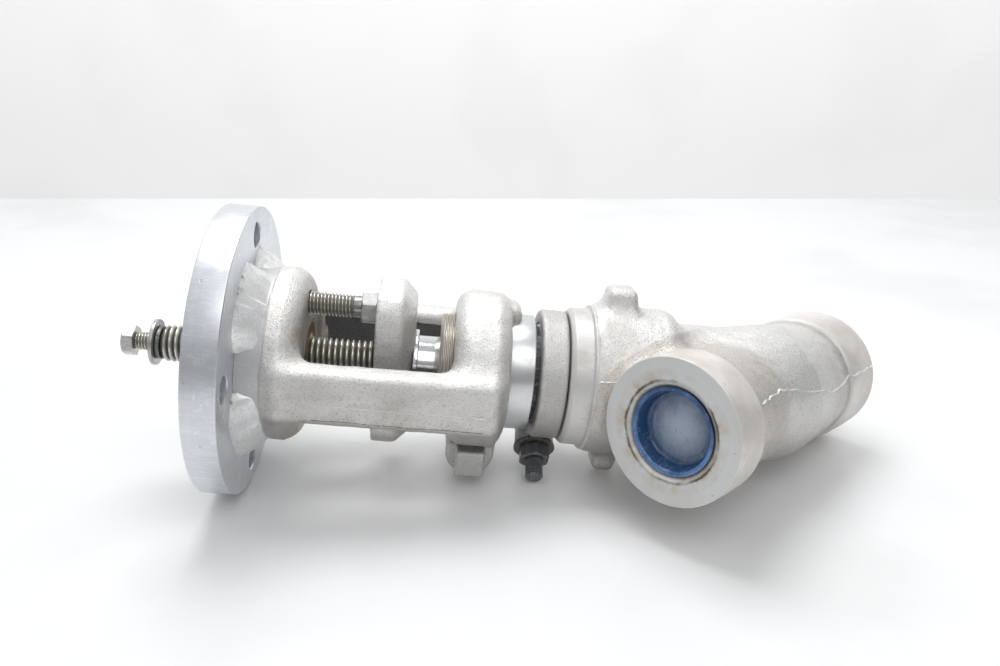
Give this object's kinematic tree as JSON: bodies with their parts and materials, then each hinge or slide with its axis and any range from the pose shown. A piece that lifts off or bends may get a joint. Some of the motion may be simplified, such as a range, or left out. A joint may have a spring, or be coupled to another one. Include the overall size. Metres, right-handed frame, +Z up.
{
  "type": "needle valve",
  "caption": "Y-pattern needle valve with a rising threaded stem, outside yoke, split clamp ring and a round actuator mounting flange.",
  "frame": {"origin": "centre of the actuator flange's outer face, on the stem's axis", "axes": "+Z up as the valve lies on a flat surface; +X horizontal, along the stem from the actuator flange toward the body; +Y horizontal, away from the front (outlet) port"},
  "size_m": [0.3452, 0.1426, 0.1256],
  "materials": {
    "cast_paint": "aluminium paint on rough sand-cast steel, dusty, grime in the recesses",
    "port_steel": "turned steel with thin ochre rust",
    "bonnet_steel": "turned, satin",
    "flange_steel": "milled, satin, fine scratches",
    "weld": "bright ground weld",
    "stem_steel": "threaded, bright crests and dark grooves",
    "polished_steel": "polished",
    "zinc": "zinc plated, dull, rust specks",
    "dark_steel": "blackened, oily",
    "bronze": "dull bronze",
    "graphite": "matte graphite",
    "seat_alloy": "lapped hard facing",
    "blue_plastic": "soft moulded polyethylene, hazy"
  },
  "bodies": {
    "valve": {"body": "cast_paint", "seat_ring": "seat_alloy", "bonnet": "bonnet_steel", "bonnet_gasket": "graphite", "clamp_ring": "cast_paint", "clamp_bolt": "dark_steel", "clamp_washer": "dark_steel", "clamp_nut": "dark_steel", "yoke": "cast_paint", "yoke_pinch_bolt": "zinc", "yoke_pinch_nut": "zinc", "yoke_bushing": "bronze", "bushing_lock_screw": "dark_steel", "actuator_flange": "flange_steel", "flange_welds": "weld", "packing_rings": "graphite", "packing_spacer": "bonnet_steel"},
    "needle": {"needle": "seat_alloy", "needle_retainer": "bonnet_steel"},
    "stem": {"stem": "stem_steel", "stem_end_screw": "zinc"},
    "end_washers": {"stem_end_washer": "zinc", "stem_spring_washer": "dark_steel"},
    "gland": {"gland_flange": "cast_paint", "gland_follower": "polished_steel"},
    "gland_screw_bottom": {"gland_screw_bottom": "zinc"},
    "gland_screw_top": {"gland_screw_top": "zinc"},
    "outlet_plug": {"outlet_plug": "blue_plastic"}
  },
  "joints": [
    {"name": "needle_lift", "type": "slide", "parent": "valve", "child": "needle", "axis": [-0.9943, 0, 0.1063], "range_m": [0, 0.012]},
    {"name": "stem_turn", "type": "hinge", "parent": "needle", "child": "stem", "pos_m": [0, 0, 0], "axis": [-0.9943, 0, 0.1063], "range_deg": [0, 1730]},
    {"name": "end_washer_slide", "type": "slide", "parent": "stem", "child": "end_washers", "axis": [0.9943, 0, -0.1063], "range_m": [-0.0075, 0.0001]},
    {"name": "gland_travel", "type": "slide", "parent": "valve", "child": "gland", "axis": [0.9943, 0, -0.1063], "range_m": [-0.008, 0.003]},
    {"name": "gland_screw_bottom_turn", "type": "hinge", "parent": "gland", "child": "gland_screw_bottom", "pos_m": [0.05701, 0.00205, -0.03115], "axis": [0.9943, 0, -0.1063], "range_deg": [-1922, 722]},
    {"name": "gland_screw_top_turn", "type": "hinge", "parent": "gland", "child": "gland_screw_top", "pos_m": [0.06231, -0.00205, 0.0184], "axis": [0.9943, 0, -0.1063], "range_deg": [-1922, 722]},
    {"name": "outlet_plug_pull", "type": "slide", "parent": "valve", "child": "outlet_plug", "axis": [-0.6971, -0.7048, 0.1315], "range_m": [0, 0.03]}
  ],
  "couplings": [
    {"joint": "stem_turn", "follows": "needle_lift", "rad_per_m": 2513.3},
    {"joint": "gland_screw_bottom_turn", "follows": "gland_travel", "rad_per_m": 4188.8},
    {"joint": "gland_screw_top_turn", "follows": "gland_travel", "rad_per_m": 4188.8}
  ]
}
